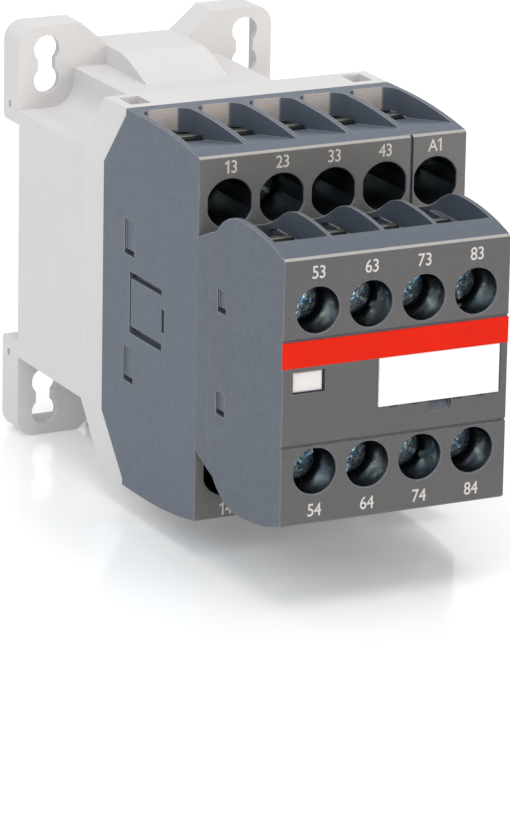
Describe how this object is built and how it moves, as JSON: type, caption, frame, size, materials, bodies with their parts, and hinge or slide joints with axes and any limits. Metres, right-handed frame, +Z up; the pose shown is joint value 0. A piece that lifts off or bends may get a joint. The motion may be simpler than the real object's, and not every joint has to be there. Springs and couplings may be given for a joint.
{
  "type": "din rail contactor",
  "caption": "Compact contactor relay for a 35 mm rail: light coil housing with slotted lugs, dark terminal housing and an auxiliary contact block on its front.",
  "frame": {"origin": "centre of the back mounting plane, midway between the upper and the lower slotted lugs", "axes": "+X to the right and +Z up as seen from the front; the device stands forward from the plane along -Y"},
  "size_m": [0.045, 0.1006, 0.0676],
  "materials": {
    "light_housing_plastic": "fine matt texture",
    "dark_housing_plastic": "fine matt texture",
    "aux_plastic": "fine matt texture",
    "band_red": "satin print",
    "marker_white": "satin",
    "indicator_plastic": "satin",
    "clip_plastic": "satin",
    "carrier_plastic": "satin",
    "bobbin_plastic": "satin",
    "damper_rubber": "matt",
    "magnet_steel": "ground laminations",
    "zinc_steel": "zinc plated",
    "spring_steel": "drawn wire",
    "terminal_brass": "stamped, tinned edges",
    "contact_silver": "silver faced",
    "copper": "bare copper",
    "winding_copper": "enamelled wire under tape"
  },
  "bodies": {
    "housing": {"base_housing": "light_housing_plastic", "front_housing": "dark_housing_plastic", "side_cover_left": "dark_housing_plastic", "side_cover_right": "dark_housing_plastic", "aux_rear_shell": "aux_plastic", "aux_housing": "aux_plastic", "colour_band": "band_red", "marker_plate": "marker_white", "core_damper": "damper_rubber", "fixed_core": "magnet_steel", "shading_rings": "copper", "coil_bobbin": "bobbin_plastic", "coil_winding": "winding_copper", "coil_terminal_a1": "terminal_brass", "coil_terminal_a2": "terminal_brass", "return_springs": "spring_steel", "din_clip_spring": "spring_steel", "fixed_contacts_top": "terminal_brass", "fixed_contacts_bottom": "terminal_brass", "aux_fixed_contacts_top": "terminal_brass", "aux_fixed_contacts_bottom": "terminal_brass"},
    "carrier": {"contact_carrier": "carrier_plastic", "armature": "magnet_steel", "armature_key": "zinc_steel", "aux_carrier": "carrier_plastic", "position_indicator": "indicator_plastic", "contact_springs": "spring_steel", "aux_contact_springs": "spring_steel"},
    "main_bridges": {"bridge_contact_1": "contact_silver", "bridge_contact_2": "contact_silver", "bridge_contact_3": "contact_silver", "bridge_contact_4": "contact_silver"},
    "aux_bridges": {"aux_bridge_contact_1": "contact_silver", "aux_bridge_contact_2": "contact_silver", "aux_bridge_contact_3": "contact_silver", "aux_bridge_contact_4": "contact_silver"},
    "rail_clip": {"din_clip": "clip_plastic"},
    "screw_13": {"terminal_screw_13": "zinc_steel"},
    "screw_23": {"terminal_screw_23": "zinc_steel"},
    "screw_33": {"terminal_screw_33": "zinc_steel"},
    "screw_43": {"terminal_screw_43": "zinc_steel"},
    "screw_a1": {"terminal_screw_a1": "zinc_steel"},
    "screw_14": {"terminal_screw_14": "zinc_steel"},
    "screw_24": {"terminal_screw_24": "zinc_steel"},
    "screw_34": {"terminal_screw_34": "zinc_steel"},
    "screw_44": {"terminal_screw_44": "zinc_steel"},
    "screw_a2": {"terminal_screw_a2": "zinc_steel"},
    "screw_53": {"terminal_screw_53": "zinc_steel"},
    "screw_63": {"terminal_screw_63": "zinc_steel"},
    "screw_73": {"terminal_screw_73": "zinc_steel"},
    "screw_83": {"terminal_screw_83": "zinc_steel"},
    "screw_54": {"terminal_screw_54": "zinc_steel"},
    "screw_64": {"terminal_screw_64": "zinc_steel"},
    "screw_74": {"terminal_screw_74": "zinc_steel"},
    "screw_84": {"terminal_screw_84": "zinc_steel"}
  },
  "joints": [
    {"name": "carrier_slide", "type": "slide", "parent": "housing", "child": "carrier", "axis": [0, 1, 0], "range_m": [0, 0.004], "stiffness_N_per_m": 300, "springref_m": -0.004, "deforming": ["return_springs", "contact_springs", "aux_contact_springs"]},
    {"name": "main_bridge_slide", "type": "slide", "parent": "housing", "child": "main_bridges", "axis": [0, 1, 0], "range_m": [0, 0.003]},
    {"name": "aux_bridge_slide", "type": "slide", "parent": "housing", "child": "aux_bridges", "axis": [0, 1, 0], "range_m": [0, 0.003]},
    {"name": "rail_clip_slide", "type": "slide", "parent": "housing", "child": "rail_clip", "axis": [0, 0, -1], "range_m": [0, 0.003], "stiffness_N_per_m": 800, "springref_m": -0.003, "deforming": ["din_clip_spring"]},
    {"name": "screw_13_travel", "type": "slide", "parent": "housing", "child": "screw_13", "axis": [0, -1, 0], "range_m": [-0.0015, 0.0003]},
    {"name": "screw_23_travel", "type": "slide", "parent": "housing", "child": "screw_23", "axis": [0, -1, 0], "range_m": [-0.0015, 0.0003]},
    {"name": "screw_33_travel", "type": "slide", "parent": "housing", "child": "screw_33", "axis": [0, -1, 0], "range_m": [-0.0015, 0.0003]},
    {"name": "screw_43_travel", "type": "slide", "parent": "housing", "child": "screw_43", "axis": [0, -1, 0], "range_m": [-0.0015, 0.0003]},
    {"name": "screw_a1_travel", "type": "slide", "parent": "housing", "child": "screw_a1", "axis": [0, -1, 0], "range_m": [-0.0015, 0.0003]},
    {"name": "screw_14_travel", "type": "slide", "parent": "housing", "child": "screw_14", "axis": [0, -1, 0], "range_m": [-0.0015, 0.0003]},
    {"name": "screw_24_travel", "type": "slide", "parent": "housing", "child": "screw_24", "axis": [0, -1, 0], "range_m": [-0.0015, 0.0003]},
    {"name": "screw_34_travel", "type": "slide", "parent": "housing", "child": "screw_34", "axis": [0, -1, 0], "range_m": [-0.0015, 0.0003]},
    {"name": "screw_44_travel", "type": "slide", "parent": "housing", "child": "screw_44", "axis": [0, -1, 0], "range_m": [-0.0015, 0.0003]},
    {"name": "screw_a2_travel", "type": "slide", "parent": "housing", "child": "screw_a2", "axis": [0, -1, 0], "range_m": [-0.0015, 0.0003]},
    {"name": "screw_53_travel", "type": "slide", "parent": "housing", "child": "screw_53", "axis": [0, -1, 0], "range_m": [-0.0015, 0.0003]},
    {"name": "screw_63_travel", "type": "slide", "parent": "housing", "child": "screw_63", "axis": [0, -1, 0], "range_m": [-0.0015, 0.0003]},
    {"name": "screw_73_travel", "type": "slide", "parent": "housing", "child": "screw_73", "axis": [0, -1, 0], "range_m": [-0.0015, 0.0003]},
    {"name": "screw_83_travel", "type": "slide", "parent": "housing", "child": "screw_83", "axis": [0, -1, 0], "range_m": [-0.0015, 0.0003]},
    {"name": "screw_54_travel", "type": "slide", "parent": "housing", "child": "screw_54", "axis": [0, -1, 0], "range_m": [-0.0015, 0.0003]},
    {"name": "screw_64_travel", "type": "slide", "parent": "housing", "child": "screw_64", "axis": [0, -1, 0], "range_m": [-0.0015, 0.0003]},
    {"name": "screw_74_travel", "type": "slide", "parent": "housing", "child": "screw_74", "axis": [0, -1, 0], "range_m": [-0.0015, 0.0003]},
    {"name": "screw_84_travel", "type": "slide", "parent": "housing", "child": "screw_84", "axis": [0, -1, 0], "range_m": [-0.0015, 0.0003]}
  ],
  "couplings": [
    {"joint": "main_bridge_slide", "follows": "carrier_slide", "ratio": 0.75},
    {"joint": "aux_bridge_slide", "follows": "carrier_slide", "ratio": 0.75}
  ]
}
